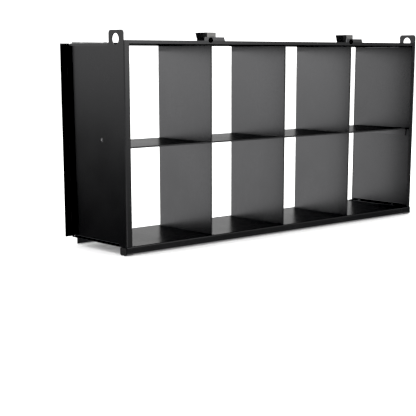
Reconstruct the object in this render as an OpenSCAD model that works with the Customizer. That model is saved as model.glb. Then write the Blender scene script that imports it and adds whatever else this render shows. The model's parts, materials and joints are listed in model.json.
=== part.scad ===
// Egg-crate louvre box: a folded sheet box, four cells wide and two high,
// with two pierced lifting ears and two lift-up latch levers behind the top front flange.
// Millimetres. +Z up, the front face looks along -Y, +X to the right seen from the front.
// The origin is the middle of the underside of the bounding box.

/* [Rim] */
// width over the two side panels
rim_w = 683.4; // [640:0.2:740]
// height of the front rim
rim_h = 320; // [300:2:350]
// width of the inward front return on each side panel
return_w = 10.2; // [8.5:0.1:12]
// height of the folded rail along the bottom of the rim
rail_h = 12.2; // [11.5:0.1:15]
// depth of that rail from front to back
rail_d = 16; // [14:0.5:20]

/* [Box] */
// depth of the box from the rim to the rear flange
depth = 148; // [146:1:170]
// thickness of the outer sheet
sheet = 1.5; // [1.2:0.1:1.8]
// outside radius of the front and rear bends
bend_r = 2; // [1.8:0.1:3]
// outside radius of the top and bottom bends of the side panels
pan_r = 4.5; // [4:0.1:5.5]
// width of the side panel flanges that lie on the top and bottom panels
pan_fl = 15; // [13:0.5:18]
// step from the top of the side panels down from the rim
pan_drop = 3.7; // [3.5:0.1:4.2]
// reach of the rear flange beyond the side panels
rear_fl = 12; // [8:0.5:16]
// height of the rear lip on the top panel
rear_lip = 3; // [2:0.5:4]

/* [Grid] */
// distance between upright dividers
pitch = 165.2; // [150:0.1:172]
// thickness of the divider sheet
div_t = 1.2; // [1:0.1:1.5]
// thickness of the folded front hem of the dividers
hem_t = 2.4; // [2.2:0.1:3]
// depth of that hem
hem_l = 6; // [5:0.5:9]
// setback of the dividers behind the rim
div_y0 = 4.7; // [4.4:0.1:7]
// depth of the dividers
div_d = 133.2; // [126:0.2:135]
// height of the level divider above the bottom of the rim
mid_z = 161.8; // [140:0.2:175]

/* [Ears] */
// width of a lifting ear
ear_w = 36; // [32:0.5:40]
// height of a lifting ear above the side panel
ear_h = 18.6; // [17:0.2:22]
// diameter of the hole in a lifting ear
ear_hole = 17; // [14:0.2:18]
// height of the hole centre above the side panel
ear_hole_z = 5.4; // [4:0.2:6]

/* [Latches] */
// reach of the raised latch tab to the left of the upright divider below it
tab_left = 18; // [17.6:0.1:19]
// reach of the raised latch tab to the right of that divider
tab_right = 24.4; // [21:0.2:26]
// height of the raised tab above the rim
tab_h = 5.8; // [5.2:0.1:6.2]
// sideways step from an upright divider to the bracket screw
screw_x = -6.2; // [-7:0.1:-5.5]
// height of the bracket screw above the rim
screw_z = 1.1; // [0.7:0.1:1.4]
// width of the head of the bracket screw
head_d = 8.2; // [7:0.1:8.4]
// sideways step from an upright divider to the lever pivot
pivot_x = 18.2; // [17.6:0.1:18.6]
// height of the lever pivot above the rim
pivot_z = 1; // [0.6:0.1:1.4]
// distance of the pivot ear behind the rim
pivot_y = 22; // [21:0.5:23]
// pivot screw diameter
pivot_d = 5; // [4:0.5:5]
// length of the latch lever to the left of the pivot
lever_l = 20.2; // [19.6:0.1:20.6]
// length of the latch lever to the right of the pivot
lever_r = 9.3; // [8:0.1:9.5]
// height of the lever bar
lever_h = 7.7; // [6.5:0.1:8]
// depth of the cross grip on the end of the lever
grip_d = 17.2; // [15:0.2:18]
// height of that grip
grip_h = 15.6; // [14:0.1:16]

/* [Feet] */
// drop of the end feet below the rim
foot_drop = 1.5; // [1:0.1:2]

/* [Hidden] */
$fn = 48;
gap = 0.05;
xo = rim_w / 2;
in_w = rim_w - 2 * sheet - 0.2;
fl_w = rim_w - 2 * return_w - 0.2;
top_w = rim_w - 2 * pan_r - 0.2;
pan_z1 = rim_h - pan_drop;
top_u = pan_z1 - sheet - gap;
top_z = top_u - sheet;
pan_z0 = rail_h + gap;
bot_z = rail_h - sheet;
rail_r = 2.5;
ear_y0 = bend_r - 0.8;
ear_y1 = ear_y0 + ear_w;
ear_hole_y = ear_y0 + ear_w / 2 + 1.3;
ear_r = 5;
ear_zc = pan_z1 + ear_hole_z;
relief = 1.5;
slit = 0.3;
fl_y0 = ear_y1 + relief + slit;
base_y0 = rail_d + relief + slit;
pan_y1 = depth - bend_r - 4;
head_h = 2.8;
cap_h = 1.2;
y0 = -(depth - cap_h) / 2;
rivet_r = 2;
hole_r = 2.1;
div_y1 = div_y0 + div_d;
div_z0 = rail_h + gap;
div_z1 = top_z - gap;
half_y = (div_y0 + div_y1) / 2;
div_x = [-pitch, 0, pitch];
tab_y = [24, 92];
tab_l = 24;
foot_w = 13;
end_l = [45, 15];
end_tab = [28, 118];
end_y = [59, 80];
end_h = 14.2;
end_r = [9.4, 7];
pan_rivet_y = [58, 120];
base_rivet_y = [36, 120];
pan_rivet_x = xo - 9.5;
pz = rim_h + pivot_z;
sz = rim_h + screw_z;
bolt_d = 4;
bolt_nut_h = 3;
pivot_head = 7;
bk_z = top_u + gap;
bk_r = 2.6;
bk_y = sheet + gap;
bk_left = 17;
bk_leg = 30;
bk_w = 42;
bk_leg_z = rim_h + 4.6;
bk_ear_r = 6;
spacer_h = 2;
lev_y = sheet + spacer_h + gap;
lev_t = 2;
washer_h = 1;
nut_h = 4;
bar_z = 4.9;
tang_z = bar_z + 1;
tang_h = 4.5;
grip_x = -14;
grip_y = -1.7;
grip_z = -3.5;

black = [0.10, 0.10, 0.11];
black2 = [0.13, 0.13, 0.14];
steel = [0.62, 0.61, 0.59];
rubber = [0.04, 0.04, 0.045];

// moves a piece from the rim corner datum to the frame of the whole part
module at() translate([0, y0, foot_drop]) children();

// quarter of a bent sheet, axis along X
module bend_x(l, r, t, sy, sz) difference() {
  intersection() {
    rotate([0, 90, 0]) cylinder(r = r, h = l);
    translate([0, sy > 0 ? 0 : -r, sz > 0 ? 0 : -r]) cube([l, r, r]);
  }
  translate([-1, 0, 0]) rotate([0, 90, 0]) cylinder(r = r - t, h = l + 2);
}

// quarter of a bent sheet, axis along Y
module bend_y(l, r, t, sx, sz) difference() {
  intersection() {
    rotate([-90, 0, 0]) cylinder(r = r, h = l);
    translate([sx > 0 ? 0 : -r, 0, sz > 0 ? 0 : -r]) cube([r, l, r]);
  }
  translate([0, -1, 0]) rotate([-90, 0, 0]) cylinder(r = r - t, h = l + 2);
}

// quarter of a bent sheet, axis along Z
module bend_z(l, r, t, sx, sy) difference() {
  intersection() {
    cylinder(r = r, h = l);
    translate([sx > 0 ? 0 : -r, sy > 0 ? 0 : -r, 0]) cube([r, r, l]);
  }
  translate([0, 0, -1]) cylinder(r = r - t, h = l + 2);
}

// straight round hole along Z
module drill_z(x, y, z) translate([x, y, z - 6]) cylinder(r = hole_r, h = 12);

// blind rivet, factory head at z < 0, grip g along +Z
module rivet(g) {
  translate([0, 0, -1.3]) cylinder(h = 0.9, r1 = 2.1, r2 = 3.3);
  translate([0, 0, -0.42]) cylinder(h = 0.4, r = 3.3);
  translate([0, 0, -0.4]) cylinder(h = g + 0.8, r = rivet_r);
  translate([0, 0, g + 0.02]) cylinder(h = 1, r = 2.8);
}

module top_panel() color(black) at() difference() {
  union() {
    // full width between the ears, notched behind them to clear the side panel bends
    translate([-in_w / 2, bend_r, top_z]) cube([in_w, ear_y1 + relief - bend_r, sheet]);
    translate([-top_w / 2, bend_r, top_z]) cube([top_w, depth - 2 * bend_r, sheet]);
    translate([-fl_w / 2, bend_r, top_z + bend_r]) bend_x(fl_w, bend_r, sheet, -1, -1);
    translate([-fl_w / 2, 0, top_z + bend_r]) cube([fl_w, sheet, rim_h - top_z - bend_r]);
    translate([-fl_w / 2, depth - bend_r, top_z + bend_r]) bend_x(fl_w, bend_r, sheet, 1, -1);
    translate([-fl_w / 2, depth - sheet, top_z + bend_r]) cube([fl_w, sheet, rear_lip]);
    for (s = [-1, 1]) translate([s * pitch, sheet, rim_h - 1]) rotate([90, 0, 0])
      linear_extrude(height = sheet) polygon([[-tab_left, 0], [tab_right, 0],
        [tab_right - 2.5, tab_h + 1], [-tab_left + 0.6, tab_h + 1]]);
  }
  for (s = [-1, 1]) {
    translate([s * pitch + screw_x, -2, sz]) rotate([-90, 0, 0]) cylinder(d = bolt_d + 0.2, h = 6);
    for (y = pan_rivet_y) drill_z(s * pan_rivet_x, y, top_z);
  }
  for (x = div_x, y = tab_y) drill_z(x + foot_w / 2 + 1, y + tab_l / 2, top_z);
}

module bottom_panel() color(black) at() difference() {
  union() {
    translate([-xo, bend_r, bot_z]) cube([rim_w, depth - 2 * bend_r, sheet]);
    // front rail, folded down, back and up again
    translate([-xo, bend_r, rail_h - bend_r]) bend_x(rim_w, bend_r, sheet, -1, 1);
    translate([-xo, 0, rail_r]) cube([rim_w, sheet, rail_h - bend_r - rail_r]);
    translate([-xo, rail_r, rail_r]) bend_x(rim_w, rail_r, sheet, -1, -1);
    translate([-xo, rail_r, 0]) cube([rim_w, rail_d - 2 * rail_r, sheet]);
    translate([-xo, rail_d - rail_r, rail_r]) bend_x(rim_w, rail_r, sheet, 1, -1);
    translate([-xo, rail_d - sheet, rail_r]) cube([rim_w, sheet, bot_z - rail_r - 0.4]);
    // rear flange, folded down
    translate([-fl_w / 2, depth - bend_r, rail_h - bend_r]) bend_x(fl_w, bend_r, sheet, 1, 1);
    translate([-fl_w / 2, depth - sheet, -foot_drop]) cube([fl_w, sheet, rail_h - bend_r + foot_drop]);
  }
  // short slots at the foot of each upright
  for (x = concat([-xo + return_w + 4], div_x, [xo - return_w - 4]))
    translate([x - 4, bend_r + 0.4, bot_z - 1]) cube([8, 2, sheet + 2]);
  for (s = [-1, 1], y = base_rivet_y) drill_z(s * pan_rivet_x, y, bot_z);
  for (x = div_x, y = tab_y) drill_z(x + foot_w / 2 + 1, y + tab_l / 2, bot_z);
}

// right-hand side panel, the left one is its mirror image
module side_panel(ry, rz) difference() {
  union() {
    translate([xo - sheet, bend_r, pan_z0 + pan_r]) cube([sheet, depth - 2 * bend_r, pan_z1 - pan_z0 - 2 * pan_r]);
    // straight corners at the front
    translate([xo - sheet, bend_r, pan_z1 - pan_r]) cube([sheet, ear_y1 + relief - bend_r, pan_r]);
    translate([xo - sheet, bend_r, pan_z0]) cube([sheet, rail_d + relief - bend_r, pan_r]);
    // lap that closes the lower corner behind the end of the bend
    translate([xo - sheet, rail_d, pan_z0]) cube([sheet - 0.3, base_y0 - rail_d + 3, pan_r - 0.5]);
    // straight corners at the rear
    for (z = [pan_z0, pan_z1 - pan_r]) translate([xo - sheet, pan_y1 + slit, z]) cube([sheet, depth - bend_r - pan_y1 - slit, pan_r]);
    // flange over the top panel
    translate([xo - pan_r, fl_y0, pan_z1 - pan_r]) bend_y(pan_y1 - fl_y0, pan_r, sheet, 1, 1);
    translate([xo - pan_fl, fl_y0, pan_z1 - sheet]) cube([pan_fl - pan_r, pan_y1 - fl_y0, sheet]);
    // flange on the bottom panel
    translate([xo - pan_r, base_y0, pan_z0 + pan_r]) bend_y(pan_y1 - base_y0, pan_r, sheet, 1, -1);
    translate([xo - pan_fl, base_y0, pan_z0]) cube([pan_fl - pan_r, pan_y1 - base_y0, sheet]);
    // front return
    translate([xo - bend_r, bend_r, pan_z0]) bend_z(rim_h - pan_z0, bend_r, sheet, 1, -1);
    translate([xo - return_w, 0, pan_z0]) cube([return_w - bend_r, sheet, rim_h - pan_z0]);
    // rear flange
    translate([xo + bend_r - sheet, depth - bend_r, pan_z0]) bend_z(pan_z1 - pan_z0, bend_r, sheet, -1, 1);
    translate([xo + bend_r - sheet, depth - sheet, pan_z0]) cube([rear_fl - bend_r + sheet, sheet, pan_z1 - pan_z0]);
    // lifting ear
    translate([xo - sheet, ear_y0, pan_z1]) cube([sheet, ear_w, ear_h - ear_r]);
    translate([xo - sheet, ear_y0 + ear_r, pan_z1 + ear_h - ear_r]) cube([sheet, ear_w - 2 * ear_r, ear_r]);
    for (y = [ear_y0 + ear_r, ear_y1 - ear_r]) translate([xo - sheet, y, pan_z1 + ear_h - ear_r])
      rotate([0, 90, 0]) cylinder(r = ear_r, h = sheet);
  }
  translate([xo - sheet - 1, ear_hole_y, ear_zc]) rotate([0, 90, 0]) cylinder(d = ear_hole, h = sheet + 2);
  translate([xo - sheet - 1, ry, rz]) rotate([0, 90, 0]) cylinder(r = hole_r, h = sheet + 2);
  for (y = pan_rivet_y) drill_z(pan_rivet_x, y, pan_z1);
  for (y = base_rivet_y) drill_z(pan_rivet_x, y, pan_z0);
}

module right_side_panel() color(black) at() side_panel(end_y[1], mid_z - end_r[1]);
module left_side_panel() color(black) at() mirror([1, 0, 0]) side_panel(end_y[0], mid_z + end_r[0]);

module upright(x) difference() {
  union() {
    translate([x - div_t / 2, div_y0 + hem_t / 2, div_z0]) cube([div_t, div_d - hem_t / 2, div_z1 - div_z0]);
    translate([x - hem_t / 2, div_y0 + hem_t / 2, div_z0]) cube([hem_t, hem_l - hem_t / 2, div_z1 - div_z0]);
    translate([x, div_y0 + hem_t / 2, div_z0]) cylinder(r = hem_t / 2, h = div_z1 - div_z0);
    for (y = tab_y) {
      translate([x - div_t / 2, y, div_z0]) cube([foot_w, tab_l, div_t]);
      translate([x - div_t / 2, y, div_z1 - div_t]) cube([foot_w, tab_l, div_t]);
    }
  }
  // half-lap slot, wider where the hem of the level divider enters
  translate([x - hem_t, div_y0 - 1, mid_z - hem_t / 2 - 0.1]) cube([2 * hem_t, hem_l + 1.3, hem_t + 0.2]);
  translate([x - hem_t, div_y0, mid_z - div_t / 2 - 0.1]) cube([2 * hem_t, half_y - div_y0 + 0.2, div_t + 0.2]);
  for (y = tab_y) {
    drill_z(x + foot_w / 2 + 1, y + tab_l / 2, div_z0);
    drill_z(x + foot_w / 2 + 1, y + tab_l / 2, div_z1);
  }
}

module left_upright_divider() color(black2) at() upright(div_x[0]);
module middle_upright_divider() color(black2) at() upright(div_x[1]);
module right_upright_divider() color(black2) at() upright(div_x[2]);

module level_divider() color(black2) at() difference() {
  lx = xo - sheet - gap;
  union() {
    translate([-lx, div_y0 + hem_t / 2, mid_z - div_t / 2]) cube([2 * lx, div_d - hem_t / 2, div_t]);
    translate([-lx, div_y0 + hem_t / 2, mid_z - hem_t / 2]) cube([2 * lx, hem_l - hem_t / 2, hem_t]);
    translate([-lx, div_y0 + hem_t / 2, mid_z]) rotate([0, 90, 0]) cylinder(r = hem_t / 2, h = 2 * lx);
    translate([-lx, end_l[0], mid_z - div_t / 2]) cube([div_t, end_tab[0], end_h + div_t / 2]);
    translate([lx - div_t, end_l[1], mid_z + div_t / 2 - end_h]) cube([div_t, end_tab[1], end_h]);
  }
  for (x = div_x) translate([x - div_t / 2 - 0.1, half_y - 0.2, mid_z - 2])
    cube([div_t + 0.2, div_d, 4]);
  translate([-xo, end_y[0], mid_z + end_r[0]]) rotate([0, 90, 0]) cylinder(r = hole_r, h = 6);
  translate([xo - 6, end_y[1], mid_z - end_r[1]]) rotate([0, 90, 0]) cylinder(r = hole_r, h = 6);
}

module top_edge_rivets() color(black) at() for (s = [-1, 1], y = pan_rivet_y)
  translate([s * pan_rivet_x, y, pan_z1]) rotate([180, 0, 0]) rivet(2 * sheet + gap);

module bottom_edge_rivets() color(black) at() for (s = [-1, 1], y = base_rivet_y)
  translate([s * pan_rivet_x, y, bot_z]) rivet(2 * sheet + gap);

module divider_top_rivets() color(black) at() for (x = div_x, y = tab_y)
  translate([x + foot_w / 2 + 1, y + tab_l / 2, top_u]) rotate([180, 0, 0]) rivet(sheet + gap + div_t);

module divider_bottom_rivets() color(black) at() for (x = div_x, y = tab_y)
  translate([x + foot_w / 2 + 1, y + tab_l / 2, bot_z]) rivet(sheet + gap + div_t);

module level_divider_rivets() color(black) at() {
  translate([-xo, end_y[0], mid_z + end_r[0]]) rotate([0, 90, 0]) rivet(sheet + gap + div_t);
  translate([xo, end_y[1], mid_z - end_r[1]]) rotate([0, -90, 0]) rivet(sheet + gap + div_t);
}

// plug and foot in the open end of the front rail
module end_foot() {
  translate([xo + gap, 0.6, 0]) cube([1.5, rail_d - 0.6, bot_z - 0.4]);
  translate([xo - 12, 2, 2]) cube([12 + gap + 0.5, rail_d - 4, bot_z - 3]);
  for (y = [rail_d * 0.3, rail_d * 0.75]) difference() {
    translate([xo - 14, y, 1.5]) rotate([0, 90, 0]) cylinder(r = 3, h = 15.5 + gap);
    translate([xo - 15, y - 5, -gap]) cube([15 + gap, 10, 10]);
  }
}

module right_end_foot() color(rubber) at() end_foot();
module left_end_foot() color(rubber) at() mirror([1, 0, 0]) end_foot();

// folded bracket behind each latch tab: front leg, floor on the top panel, rear pivot ear
module latch_brackets() color(black) at() for (s = [-1, 1]) translate([s * pitch, 0, 0]) difference() {
  union() {
    translate([-bk_left, bk_y, bk_z + bk_r]) cube([bk_leg, sheet, bk_leg_z - bk_z - bk_r]);
    translate([-bk_left, bk_y + bk_r, bk_z + bk_r]) bend_x(bk_leg, bk_r, sheet, -1, -1);
    translate([-bk_left, bk_y + bk_r, bk_z]) cube([bk_w, pivot_y + sheet - 2 * bk_r - bk_y, sheet]);
    translate([pivot_x - bk_ear_r, pivot_y + sheet - bk_r, bk_z + bk_r]) bend_x(2 * bk_ear_r, bk_r, sheet, 1, -1);
    translate([pivot_x - bk_ear_r, pivot_y, bk_z + bk_r]) cube([2 * bk_ear_r, sheet, pz - bk_z - bk_r]);
    translate([pivot_x, pivot_y, pz]) rotate([-90, 0, 0]) cylinder(r = bk_ear_r, h = sheet);
  }
  translate([screw_x, 0, sz]) rotate([-90, 0, 0]) cylinder(d = bolt_d + 0.2, h = 6);
  translate([pivot_x, pivot_y - 2, pz]) rotate([-90, 0, 0]) cylinder(d = pivot_d + 0.2, h = 6);
}

// pieces that hold a bracket to its tab
module on_bolts() at() for (s = [-1, 1]) translate([s * pitch + screw_x, 0, sz]) rotate([-90, 0, 0]) children();

module latch_bracket_screws() color(black) on_bolts() {
  difference() {
    translate([0, 0, -cap_h]) cylinder(d = head_d, h = cap_h);
    translate([0, 0, -cap_h - 1]) cylinder(d = 3.4, h = 1.8, $fn = 6);
  }
  translate([0, 0, -0.2]) cylinder(d = bolt_d, h = bk_y + sheet + bolt_nut_h + 1.2);
}

module latch_bracket_nuts() color(steel) on_bolts() translate([0, 0, bk_y + sheet + gap]) difference() {
  cylinder(d = 8.08, h = bolt_nut_h, $fn = 6);
  translate([0, 0, -1]) cylinder(d = bolt_d + 0.2, h = bolt_nut_h + 2);
}

module lever() difference() {
  union() {
    translate([0, lev_y, 0]) rotate([-90, 0, 0]) cylinder(r = 5.4, h = lev_t);
    translate([-5.4, lev_y, 0]) cube([10.8, lev_t, bar_z + 2]);
    translate([grip_x + 0.2, lev_y, bar_z]) cube([lever_r - grip_x - 1.7, lev_t, lever_h]);
    // narrow tang inside the grip
    translate([-lever_l, lev_y, tang_z]) cube([lever_l - 6, lev_t, tang_h]);
    translate([0, lev_y, bar_z + 1.5]) cube([lever_r, lev_t, lever_h - 3]);
    for (z = [bar_z + 1.5, bar_z + lever_h - 1.5]) translate([lever_r - 1.5, lev_y, z])
      rotate([-90, 0, 0]) cylinder(r = 1.5, h = lev_t);
  }
  translate([0, lev_y - 1, 0]) rotate([-90, 0, 0]) cylinder(d = pivot_d + 0.1, h = lev_t + 2);
}

// moulded cross grip on the tang of the lever, its outer face leaning out towards the top
module grip() difference() {
  translate([0, grip_y + grip_d, grip_z]) rotate([90, 0, 0]) linear_extrude(height = grip_d)
    polygon([[grip_x - 10.4, grip_h], [grip_x, grip_h], [grip_x, 0], [grip_x - 5.6, 0]]);
  translate([-lever_l - gap, lev_y - gap, tang_z - gap]) cube([lever_l + grip_x + 1, lev_t + 2 * gap, tang_h + 2 * gap]);
}

module on_pivot(s) at() translate([s * pitch + pivot_x, pivot_y, pz]) children();

module left_latch_lever() color(steel) on_pivot(-1) lever();
module left_latch_grip() color(rubber) on_pivot(-1) grip();
module right_latch_lever() color(steel) on_pivot(1) lever();
module right_latch_grip() color(rubber) on_pivot(1) grip();

// pieces that stay on the pivot axis of each latch
module on_pivots() for (s = [-1, 1]) on_pivot(s) rotate([-90, 0, 0]) children();

module latch_pivot_screws() color(black) on_pivots() {
  difference() {
    translate([0, 0, -head_h]) cylinder(d = pivot_head, h = head_h);
    translate([0, 0, -head_h - 1]) cylinder(d = 3.4, h = 2.8, $fn = 6);
  }
  translate([0, 0, -0.2]) cylinder(d = pivot_d, h = lev_y + lev_t + washer_h + nut_h + 1.2);
}

module latch_spacers() color(black2) on_pivots() translate([0, 0, sheet]) difference() {
  cylinder(d = 9, h = spacer_h);
  translate([0, 0, -1]) cylinder(d = pivot_d + 0.2, h = spacer_h + 2);
}

module latch_washers() color(steel) on_pivots() translate([0, 0, lev_y + lev_t + gap]) difference() {
  cylinder(d = 9.6, h = washer_h);
  translate([0, 0, -1]) cylinder(d = pivot_d + 0.2, h = washer_h + 2);
}

module latch_nuts() color(steel) on_pivots() translate([0, 0, lev_y + lev_t + gap + washer_h]) difference() {
  cylinder(d = 9.2, h = nut_h, $fn = 6);
  translate([0, 0, -1]) cylinder(d = pivot_d + 0.2, h = nut_h + 2);
}

top_panel();
bottom_panel();
left_side_panel();
right_side_panel();
left_upright_divider();
middle_upright_divider();
right_upright_divider();
level_divider();
top_edge_rivets();
bottom_edge_rivets();
divider_top_rivets();
divider_bottom_rivets();
level_divider_rivets();
left_end_foot();
right_end_foot();
latch_brackets();
latch_bracket_screws();
latch_bracket_nuts();
left_latch_lever();
left_latch_grip();
right_latch_lever();
right_latch_grip();
latch_pivot_screws();
latch_spacers();
latch_washers();
latch_nuts();
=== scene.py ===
import json
import math

import bmesh
import bpy
from mathutils import Matrix, Vector


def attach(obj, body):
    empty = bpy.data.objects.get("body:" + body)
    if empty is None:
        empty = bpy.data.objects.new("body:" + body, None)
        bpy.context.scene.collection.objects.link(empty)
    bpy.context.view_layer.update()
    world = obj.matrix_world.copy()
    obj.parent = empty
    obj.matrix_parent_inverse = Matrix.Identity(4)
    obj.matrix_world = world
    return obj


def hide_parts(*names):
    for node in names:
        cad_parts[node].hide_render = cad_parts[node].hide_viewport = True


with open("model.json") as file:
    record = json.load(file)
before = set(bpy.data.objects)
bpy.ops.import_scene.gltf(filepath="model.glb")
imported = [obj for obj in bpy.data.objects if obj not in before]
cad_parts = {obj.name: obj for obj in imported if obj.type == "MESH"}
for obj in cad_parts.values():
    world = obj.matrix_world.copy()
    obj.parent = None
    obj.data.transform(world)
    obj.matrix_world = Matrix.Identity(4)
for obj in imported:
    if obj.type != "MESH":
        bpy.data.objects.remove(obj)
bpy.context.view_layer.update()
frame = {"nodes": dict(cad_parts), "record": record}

nodes = frame["nodes"]
scene = bpy.context.scene
MM = 0.001
Y0, Z0 = -73.4, 1.5          # rim datum in the row frame, mm


# ---------------------------------------------------------------- materials

def new_mat(name):
    m = bpy.data.materials.new(name)
    m.use_nodes = True
    nt = m.node_tree
    nt.nodes.clear()
    out = nt.nodes.new("ShaderNodeOutputMaterial")
    bsdf = nt.nodes.new("ShaderNodeBsdfPrincipled")
    nt.links.new(bsdf.outputs["BSDF"], out.inputs["Surface"])
    return m, nt, bsdf


def noise(nt, vec, scale, detail=3.0, rough=0.5):
    n = nt.nodes.new("ShaderNodeTexNoise")
    n.inputs["Scale"].default_value = scale
    n.inputs["Detail"].default_value = detail
    n.inputs["Roughness"].default_value = rough
    nt.links.new(vec, n.inputs["Vector"])
    return n.outputs["Fac"]


def remap(nt, value, a0, a1, b0, b1):
    n = nt.nodes.new("ShaderNodeMapRange")
    n.inputs["From Min"].default_value = a0
    n.inputs["From Max"].default_value = a1
    n.inputs["To Min"].default_value = b0
    n.inputs["To Max"].default_value = b1
    nt.links.new(value, n.inputs["Value"])
    return n.outputs["Result"]


def math_node(nt, op, a, b):
    n = nt.nodes.new("ShaderNodeMath")
    n.operation = op
    for i, v in enumerate((a, b)):
        if isinstance(v, (int, float)):
            n.inputs[i].default_value = v
        else:
            nt.links.new(v, n.inputs[i])
    return n.outputs[0]


def mix_color(nt, fac, a, b):
    n = nt.nodes.new("ShaderNodeMix")
    n.data_type = "RGBA"
    nt.links.new(fac, n.inputs[0])
    for socket, v in ((n.inputs[6], a), (n.inputs[7], b)):
        if isinstance(v, tuple):
            socket.default_value = (*v, 1.0)
        else:
            nt.links.new(v, socket)
    return n.outputs[2]


def coords(nt, stretch=(1, 1, 1)):
    tc = nt.nodes.new("ShaderNodeTexCoord")
    mp = nt.nodes.new("ShaderNodeMapping")
    mp.inputs["Scale"].default_value = stretch
    nt.links.new(tc.outputs["Object"], mp.inputs["Vector"])
    return mp.outputs["Vector"]


def edge_mask(nt, radius, low, high):
    """1 on sharp outer edges, 0 on flats."""
    bv = nt.nodes.new("ShaderNodeBevel")
    bv.samples = 6
    bv.inputs["Radius"].default_value = radius
    geo = nt.nodes.new("ShaderNodeNewGeometry")
    dot = nt.nodes.new("ShaderNodeVectorMath")
    dot.operation = "DOT_PRODUCT"
    nt.links.new(bv.outputs["Normal"], dot.inputs[0])
    nt.links.new(geo.outputs["Normal"], dot.inputs[1])
    return remap(nt, dot.outputs["Value"], low, high, 1.0, 0.0)


def bump(nt, bsdf, height, distance, strength=1.0):
    b = nt.nodes.new("ShaderNodeBump")
    b.inputs["Distance"].default_value = distance
    b.inputs["Strength"].default_value = strength
    nt.links.new(height, b.inputs["Height"])
    nt.links.new(b.outputs["Normal"], bsdf.inputs["Normal"])


def grey(v):
    return (v, v, v * 1.02)


def level_shade_mask(nt, face, start, full, below):
    """1 on level faces that look up (face 1) or down (face -1), 0 on upright ones and above a height; it places the
    painted shade on level faces.
    """
    geo = nt.nodes.new("ShaderNodeNewGeometry")
    sep = nt.nodes.new("ShaderNodeSeparateXYZ")
    nt.links.new(geo.outputs["Normal"], sep.inputs["Vector"])
    pos = nt.nodes.new("ShaderNodeSeparateXYZ")
    nt.links.new(coords(nt), pos.inputs["Vector"])
    return math_node(nt, "MULTIPLY", remap(nt, sep.outputs["Z"], face * start, face * full, 0.0, 1.0),
                     remap(nt, pos.outputs["Z"], below, below + 0.01, 1.0, 0.0))


def coat(name, dark, light, r0, r1, tint, wear=1.5, up=1.0, down=1.0, start=0.35, full=0.9, below=9.0, rim_highlight=1.0):
    """Satin black coat on aluminium: fine grain, cloudy gloss, rubbed edges.
    up and down set painted shade on level faces that look up or down: a near-black base and only that share of the
    metallic gloss kept. A lift above 1 paints what stands above the rim lighter, a painted highlight."""
    m, nt, bsdf = new_mat(name)
    v = coords(nt)
    cloud = noise(nt, v, 9.0, 4.0, 0.55)
    fine = noise(nt, v, 260.0, 3.0, 0.6)
    peel = noise(nt, v, 900.0, 2.0, 0.5)
    speck = noise(nt, v, 2600.0, 1.0, 0.5)
    tone = math_node(nt, "ADD", math_node(nt, "MULTIPLY", cloud, 0.7), math_node(nt, "MULTIPLY", fine, 0.3))
    base = mix_color(nt, remap(nt, tone, 0.32, 0.68, 0.0, 1.0), grey(dark), grey(light))
    worn = math_node(nt, "MULTIPLY", edge_mask(nt, 0.0005, 0.80, 0.99), remap(nt, fine, 0.42, 0.62, 0.0, 0.6))
    base = mix_color(nt, worn, base, grey(wear * light))
    # painted highlight: what stands above the rim top is painted lighter, the light tone raised by this factor
    if rim_highlight > 1.0:
        sep = nt.nodes.new("ShaderNodeSeparateXYZ")
        nt.links.new(v, sep.inputs["Vector"])
        base = mix_color(nt, remap(nt, sep.outputs["Z"], 0.3212, 0.3225, 0.0, 1.0), base, grey(rim_highlight * light))
    metal = None
    # painted shade: level faces that look up or down get a near-black base and lose part of their metallic gloss
    for face, keep in ((1, up), (-1, down)):
        if keep < 1.0:
            mask = level_shade_mask(nt, face, start, full, below)
            base = mix_color(nt, mask, base, grey(0.006))
            loss = math_node(nt, "MULTIPLY", mask, 1.0 - keep)
            metal = math_node(nt, "SUBTRACT", metal or 1.0, loss)
    if metal:
        nt.links.new(metal, bsdf.inputs["Metallic"])
        bsdf.inputs["Specular IOR Level"].default_value = 0.0
    else:
        bsdf.inputs["Metallic"].default_value = 1.0
    nt.links.new(base, bsdf.inputs["Base Color"])
    bsdf.inputs["Specular Tint"].default_value = (tint, tint, tint, 1.0)
    rough = math_node(nt, "ADD", remap(nt, cloud, 0.3, 0.7, r0, r1), remap(nt, speck, 0.3, 0.7, -0.03, 0.03))
    nt.links.new(rough, bsdf.inputs["Roughness"])
    height = math_node(nt, "ADD", peel, math_node(nt, "MULTIPLY", speck, 0.25))
    bump(nt, bsdf, height, 0.00003, 0.4)
    return m


def plastic(name, dark, light, r0, r1, level, grain, depth):
    """Moulded plastic, rubber or blackened steel with a fine grain."""
    m, nt, bsdf = new_mat(name)
    v = coords(nt)
    cloud = noise(nt, v, 60.0, 3.0, 0.5)
    fine = noise(nt, v, grain, 2.0, 0.55)
    base = mix_color(nt, remap(nt, cloud, 0.3, 0.7, 0.0, 1.0), grey(dark), grey(light))
    worn = math_node(nt, "MULTIPLY", edge_mask(nt, 0.0004, 0.80, 0.99), remap(nt, fine, 0.4, 0.6, 0.1, 0.6))
    nt.links.new(mix_color(nt, worn, base, grey(2.4 * light)), bsdf.inputs["Base Color"])
    nt.links.new(remap(nt, fine, 0.3, 0.7, r0, r1), bsdf.inputs["Roughness"])
    bsdf.inputs["Specular IOR Level"].default_value = level
    bump(nt, bsdf, fine, depth, 0.6)
    return m


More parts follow.
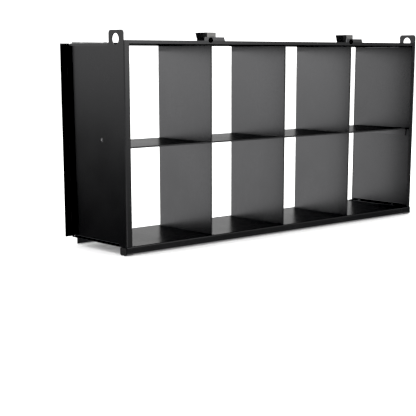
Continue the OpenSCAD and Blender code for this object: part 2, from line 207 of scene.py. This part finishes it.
def steel(name, dark, light, r0, r1, stretch):
    """Plain metal with fine brush lines along X."""
    m, nt, bsdf = new_mat(name)
    lines = noise(nt, coords(nt, stretch), 1.0, 3.0, 0.6)
    cloud = noise(nt, coords(nt), 120.0, 3.0, 0.5)
    tone = math_node(nt, "ADD", math_node(nt, "MULTIPLY", lines, 0.6), math_node(nt, "MULTIPLY", cloud, 0.4))
    base = mix_color(nt, remap(nt, tone, 0.35, 0.65, 0.0, 1.0), dark, light)
    worn = math_node(nt, "MULTIPLY", edge_mask(nt, 0.0004, 0.80, 0.99), remap(nt, cloud, 0.4, 0.6, 0.1, 0.7))
    nt.links.new(mix_color(nt, worn, base, tuple(min(0.9, 1.6 * c) for c in light)), bsdf.inputs["Base Color"])
    bsdf.inputs["Metallic"].default_value = 1.0
    nt.links.new(remap(nt, tone, 0.3, 0.7, r0, r1), bsdf.inputs["Roughness"])
    bump(nt, bsdf, lines, 0.00002, 0.5)
    return m


M = {
    "coated_box": coat("coated_box_finish", 0.054, 0.062, 0.22, 0.28, 0.5),
    # painted shade on the level faces of the grid sheets
    "coated_grid": coat("coated_grid_finish", 0.050, 0.058, 0.22, 0.28, 0.5, up=0.3, down=0.3),
    "coated_rivets": coat("coated_rivet_finish", 0.080, 0.110, 0.24, 0.32, 0.5),
    "foot_rubber": plastic("foot_rubber_finish", 0.004, 0.007, 0.62, 0.8, 0.25, 1400.0, 0.00006),
    "black_screws": plastic("black_screw_finish", 0.0012, 0.0022, 0.55, 0.7, 0.03, 2200.0, 0.00001),
    "spacer_plastic": plastic("spacer_plastic_finish", 0.006, 0.010, 0.4, 0.5, 0.4, 1500.0, 0.00002),
    "bright_steel": steel("bright_steel_finish", (0.40, 0.40, 0.39), (0.52, 0.52, 0.51), 0.24, 0.38, (300, 300, 300)),
    "lever_steel": steel("lever_steel_finish", (0.19, 0.188, 0.184), (0.27, 0.267, 0.261), 0.30, 0.44, (60, 2500, 2500)),
    "grip_plastic": plastic("grip_plastic_finish", 0.014, 0.020, 0.42, 0.58, 0.10, 1800.0, 0.00004),
}
# the same coat in lit and shaded copies, sheet by sheet: base tone and gloss differ per sheet as painted shade, not as
# a real difference in the coat
SHADED_SHEET_COATS = {
    # painted shade on the up-facing foot bends and bottom flanges of the side panels, below 0.2 m
    "left_side_panel": coat("left_side_coat", 0.046, 0.053, 0.20, 0.26, 0.5, 1.1, up=0.15, start=0.03, full=0.4, below=0.2),
    "right_side_panel": coat("right_side_coat", 0.050, 0.058, 0.27, 0.33, 0.5, 1.1, up=0.15, start=0.03, full=0.4, below=0.2),
    # painted shade on the down-facing bend under the top flange, painted highlight on what stands above the rim
    "top_panel": coat("top_coat", 0.054, 0.062, 0.22, 0.28, 0.5, down=0.06, start=0.08, full=0.45, rim_highlight=1.6),
    # painted shade on the level faces of the bottom panel and the level divider
    "bottom_panel": coat("bottom_coat", 0.040, 0.046, 0.22, 0.28, 1.0, up=0.165),
    "level_divider": coat("level_coat", 0.054, 0.062, 0.22, 0.28, 1.0, up=0.148, down=0.18),
}

slots = {s["node"]: s["material_slot"] for s in frame["record"]["subparts"]}
for name, obj in nodes.items():
    obj.data.materials.clear()
    obj.data.materials.append(SHADED_SHEET_COATS.get(name) or M[slots[name]])


# ---------------------------------------------------------------- softened sheet edges

def soften(name, width, segments=2, angle=35.0):
    o = nodes[name]
    w = o.modifiers.new("weld", "WELD")
    w.merge_threshold = 0.000005
    d = o.modifiers.new("flats", "DECIMATE")
    d.decimate_type = "DISSOLVE"
    d.angle_limit = math.radians(0.5)
    b = o.modifiers.new("edges", "BEVEL")
    b.width = width
    b.segments = segments
    b.limit_method = "ANGLE"
    b.angle_limit = math.radians(angle)
    b.use_clamp_overlap = True
    n = o.modifiers.new("normals", "WEIGHTED_NORMAL")
    n.mode = "FACE_AREA"
    n.weight = 80
    n.keep_sharp = False


for n in ("top_panel", "bottom_panel", "left_side_panel", "right_side_panel", "latch_brackets"):
    soften(n, 0.00025)
for n in ("left_upright_divider", "middle_upright_divider", "right_upright_divider", "level_divider"):
    soften(n, 0.00015)
for n in ("left_end_foot", "right_end_foot"):
    soften(n, 0.0006, 3)
for n in ("left_latch_grip", "right_latch_grip"):
    soften(n, 0.0009, 3)
for n in ("left_latch_lever", "right_latch_lever", "latch_washers", "latch_spacers"):
    soften(n, 0.0003, 2)


# ---------------------------------------------------------------- turned small pieces

def basis(axis):
    a = Vector(axis).normalized()
    u = Vector((1, 0, 0)) if abs(a.x) < 0.9 else Vector((0, 0, 1))
    u = (u - a * u.dot(a)).normalized()
    return a, u, a.cross(u)


def hexagon(flats):
    return lambda t: flats / 2 / math.cos((t + math.pi / 6) % (math.pi / 3) - math.pi / 6)


def loft(bm, origin, axis, rings, n=48, mat=0):
    """Rings of (radius, height) round axis, in mm from origin; a value may depend on the angle, radius 0 closes."""
    a, u, v = basis(axis)
    o = Vector(origin)
    prev = None
    for r, h in rings:
        if r == 0:
            row = [bm.verts.new((o + a * h) * MM)]
        else:
            row = []
            for i in range(n):
                t = 2 * math.pi * i / n
                rr = r(t) if callable(r) else r
                hh = h(t) if callable(h) else h
                row.append(bm.verts.new((o + a * hh + (u * math.cos(t) + v * math.sin(t)) * rr) * MM))
        if prev:
            for i in range(n):
                j = (i + 1) % n
                if len(prev) == 1:
                    f = bm.faces.new((prev[0], row[i], row[j]))
                elif len(row) == 1:
                    f = bm.faces.new((prev[i], row[0], prev[j]))
                else:
                    f = bm.faces.new((prev[i], row[i], row[j], prev[j]))
                f.material_index = mat
                f.smooth = True
        prev = row


def piece(name, build, slot, body, replaced, extra=None):
    bm = bmesh.new()
    build(bm)
    bmesh.ops.recalc_face_normals(bm, faces=bm.faces)
    me = bpy.data.meshes.new(name)
    bm.to_mesh(me)
    bm.free()
    me.set_sharp_from_angle(angle=math.radians(38))
    o = bpy.data.objects.new(name, me)
    scene.collection.objects.link(o)
    me.materials.append(M[slot])
    if extra:
        me.materials.append(M[extra])
    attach(o, body)
    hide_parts(replaced)
    return o


def row(x, y, z):
    return (x, y + Y0, z + Z0)


def blind_rivet(bm, at, axis, grip):
    """Domed head on the side that axis points to, set tail at depth grip, mandrel end in the head."""
    loft(bm, at, axis, [
        (0, -grip - 0.62), (1.3, -grip - 0.72), (1.55, -grip - 0.98), (2.1, -grip - 1.0), (2.6, -grip - 0.85), (2.8, -grip - 0.5),
        (2.75, -grip - 0.15), (2.0, -grip), (2.0, 0.0), (3.15, 0.0), (3.3, 0.08), (3.28, 0.30), (3.0, 0.62), (2.5, 0.92),
        (1.9, 1.14), (1.3, 1.27), (1.08, 1.28), (1.0, 1.2), (1.0, 0.55), (0, 0.55)], 32)
    loft(bm, at, axis, [(0.86, 0.56), (0.86, 0.92), (0.66, 1.05), (0.3, 1.0), (0, 1.06)], 16, 1)


PITCH, XO = 165.2, 341.7
div_x = (-PITCH, 0.0, PITCH)
top_u, bot_z, pan_z1 = 314.75, 10.7, 316.3
gap, sheet, div_t = 0.05, 1.5, 1.2


def top_edge(bm):
    for s in (-1, 1):
        for y in (58, 120):
            blind_rivet(bm, row(s * (XO - 9.5), y, pan_z1), (0, 0, 1), 2 * sheet + gap)


def bottom_edge(bm):
    for s in (-1, 1):
        for y in (36, 120):
            blind_rivet(bm, row(s * (XO - 9.5), y, bot_z), (0, 0, -1), 2 * sheet + gap)


def divider_top(bm):
    for x in div_x:
        for y in (36, 104):
            blind_rivet(bm, row(x + 7.5, y, top_u), (0, 0, 1), sheet + gap + div_t)


def divider_bottom(bm):
    for x in div_x:
        for y in (36, 104):
            blind_rivet(bm, row(x + 7.5, y, bot_z), (0, 0, -1), sheet + gap + div_t)


def level_ends(bm):
    blind_rivet(bm, row(-XO, 59, 171.2), (-1, 0, 0), sheet + gap + div_t)
    blind_rivet(bm, row(XO, 80, 154.8), (1, 0, 0), sheet + gap + div_t)


for nm, fn in (("top_edge_rivets", top_edge), ("bottom_edge_rivets", bottom_edge), ("divider_top_rivets", divider_top),
               ("divider_bottom_rivets", divider_bottom), ("level_divider_rivets", level_ends)):
    piece(nm.replace("rivets", "blind_rivets"), fn, "coated_rivets", "louvre_box", nm, "bright_steel")


def cap_screw(bm, at, axis, d, h, socket, depth, shank, length):
    """Cap head standing off along axis, deep hexagon socket, plain shank with a chamfered end."""
    r = d / 2
    hx = hexagon(socket)
    loft(bm, at, axis, [
        (0, -length), (shank / 2 - 0.5, -length), (shank / 2, -length + 0.5), (shank / 2, 0.0), (r - 0.1, 0.0), (r, 0.1),
        (r, h - 0.7), (r - 0.08, h - 0.4), (r - 0.25, h - 0.16), (r - 0.55, h), (lambda t: hx(t) + 0.18, h), (hx, h - 0.18),
        (hx, h - depth), (0, h - depth - 0.3)], 48)


def bracket_screws(bm):
    for s in (-1, 1):
        cap_screw(bm, row(s * PITCH - 6.2, 0, 321.1), (0, -1, 0), 8.2, 1.2, 4.2, 0.8, 4.0, 7.05)


def pivot_screws(bm):
    for s in (-1, 1):
        cap_screw(bm, row(s * PITCH + 18.2, 22, 321.0), (0, -1, 0), 7.0, 2.8, 4.0, 2.2, 5.0, 11.55)


piece("latch_bracket_cap_screws", bracket_screws, "black_screws", "louvre_box", "latch_bracket_screws")
piece("latch_pivot_cap_screws", pivot_screws, "black_screws", "louvre_box", "latch_pivot_screws")


def lock_nut(bm, at, axis, flats, h, hole):
    """Chamfered hexagon with a round collar at the far end."""
    hx = hexagon(flats)
    rc = flats / 2 * 0.96
    up = lambda t: (hx(t) - rc) * 0.55
    top = h * 0.72
    loft(bm, at, axis, [
        (hole, 0.0), (rc, 0.0), (hx, up), (hx, lambda t: top - up(t)), (rc, top), (rc * 0.96, top + 0.05),
        (rc * 0.95, h - 0.45), (rc * 0.86, h - 0.1), (rc * 0.74, h), (hole + 0.15, h), (hole, h - 0.2), (hole, 0.0)], 72)


def pivot_nuts(bm):
    for s in (-1, 1):
        lock_nut(bm, row(s * PITCH + 18.2, 28.6, 321.0), (0, 1, 0), 7.96, 4.0, 2.52)


def bracket_nuts(bm):
    for s in (-1, 1):
        lock_nut(bm, row(s * PITCH - 6.2, 3.1, 321.1), (0, 1, 0), 7.0, 3.0, 2.02)


piece("latch_lock_nuts", pivot_nuts, "bright_steel", "louvre_box", "latch_nuts")
piece("latch_bracket_lock_nuts", bracket_nuts, "bright_steel", "louvre_box", "latch_bracket_nuts")


# ---------------------------------------------------------------- camera

cam_data = bpy.data.cameras.new("camera")
cam = bpy.data.objects.new("camera", cam_data)
scene.collection.objects.link(cam)
yaw, pitch, roll = math.radians(41.7308), math.radians(11.8629), math.radians(-0.0443)
forward = Vector((math.sin(yaw) * math.cos(pitch), math.cos(yaw) * math.cos(pitch), -math.sin(pitch)))
right = forward.cross(Vector((0, 0, 1))).normalized()
up = right.cross(forward)
right, up = right * math.cos(roll) + up * math.sin(roll), up * math.cos(roll) - right * math.sin(roll)
cam.location = (-1.32197, -1.36975, 0.29858)
cam.rotation_mode = "QUATERNION"
cam.rotation_quaternion = Matrix((right, up, -forward)).transposed().to_quaternion()
cam_data.sensor_width = 36.0
cam_data.lens = 93.7017
cam_data.shift_x = -0.0137
cam_data.shift_y = 0.1809
cam_data.clip_start, cam_data.clip_end = 0.05, 100.0
scene.camera = cam


# ---------------------------------------------------------------- stage and light

def plane(name, size, z):
    me = bpy.data.meshes.new(name)
    s = size / 2
    me.from_pydata([(-s, -s, z), (s, -s, z), (s, s, z), (-s, s, z)], [], [(0, 1, 2, 3)])
    o = bpy.data.objects.new(name, me)
    scene.collection.objects.link(o)
    return o


floor = plane("floor", 60.0, -0.0002)
fm, fnt, fb = new_mat("floor_finish")
fv = coords(fnt)
fnt.links.new(mix_color(fnt, noise(fnt, fv, 1.5, 2.0, 0.5), (0.87, 0.87, 0.87), (0.89, 0.89, 0.89)), fb.inputs["Base Color"])
fb.inputs["Roughness"].default_value = 0.7
fb.inputs["Specular IOR Level"].default_value = 0.2
fb.inputs["Emission Color"].default_value = (1.0, 1.0, 1.0, 1.0)
fb.inputs["Emission Strength"].default_value = 0.16
floor.data.materials.append(fm)
floor.visible_glossy = False

# soft white surround, dark below the horizon as over a black table
world = bpy.data.worlds.new("studio")
scene.world = world
world.use_nodes = True
wt = world.node_tree
wbg = wt.nodes["Background"]
wtc = wt.nodes.new("ShaderNodeTexCoord")
wsep = wt.nodes.new("ShaderNodeSeparateXYZ")
wt.links.new(wtc.outputs["Generated"], wsep.inputs["Vector"])
wramp = remap(wt, wsep.outputs["Z"], -0.085, -0.01, 0.01, 1.52)
wback = remap(wt, wsep.outputs["Y"], -0.55, 0.15, 0.16, 1.0)
wfill = math_node(wt, "MULTIPLY", remap(wt, wsep.outputs["Y"], -0.70, -0.62, 0.62, 0.05),
                  remap(wt, wsep.outputs["Z"], -0.17, -0.13, 0.2, 1.0))
# pale floor well below the horizon and pale ceiling in front, past a darker band
wside = remap(wt, math_node(wt, "MULTIPLY", wsep.outputs["X"], wsep.outputs["Y"]), -0.32, 0.05, 0.0, 0.32)
wlow = remap(wt, math_node(wt, "SUBTRACT", wsep.outputs["Z"], wside), -0.40, -0.60, 0.0, 1.2)
wsky = math_node(wt, "MULTIPLY", remap(wt, wsep.outputs["Z"], 0.40, 0.75, 0.0, 0.8), remap(wt, wsep.outputs["Y"], -0.55, 0.15, 1.0, 0.0))
wsum = math_node(wt, "ADD", math_node(wt, "MULTIPLY", wramp, wback), wfill)
wsum = math_node(wt, "ADD", wsum, math_node(wt, "ADD", wlow, wsky))
wt.links.new(math_node(wt, "ADD", wsum, 0.17), wbg.inputs["Strength"])
wbg.inputs["Color"].default_value = (1.0, 1.0, 1.0, 1.0)


def area(name, loc, target, sx, sy, power, spread=180.0):
    d = bpy.data.lights.new(name, "AREA")
    d.shape = "RECTANGLE"
    d.size, d.size_y = sx, sy
    d.energy = power
    d.spread = math.radians(spread)
    o = bpy.data.objects.new(name, d)
    scene.collection.objects.link(o)
    o.location = loc
    o.rotation_mode = "QUATERNION"
    o.rotation_quaternion = (Vector(target) - Vector(loc)).to_track_quat("-Z", "Y")
    o.visible_camera = False
    return o


area("overhead", (0.6, 0.9, 2.6), (0.0, 0.1, 0.0), 2.6, 2.6, 78.0)
area("front_right", (1.10, -2.2, 0.85), (-0.3, -0.07, 0.3), 0.95, 1.5, 5.6)
# soft strips behind each column of cells, a little stronger in the lower row
for x0, x1, y, gain in ((-0.338, -0.166, 0.0676, 1.0), (-0.150, -0.001, 0.0676, 1.0),
                        (0.014, 0.1645, 0.0676, 1.0), (0.203, 0.338, 0.0736, 0.82)):
    for z0, z1, row_gain in ((0.003, 0.162, 1.12), (0.162, 0.306, 0.90)):
        x, z = (x0 + x1) / 2, (z0 + z1) / 2
        area("behind_cells", (x, y, z), (x, -1.0, z), x1 - x0, z1 - z0, 5.4 * gain * row_gain * (x1 - x0) * (z1 - z0))

# plain view with a firm black
view = scene.view_settings
view.view_transform = "Standard"
view.use_curve_mapping = True
view.curve_mapping.black_level = (0.011, 0.011, 0.011)
view.curve_mapping.update()
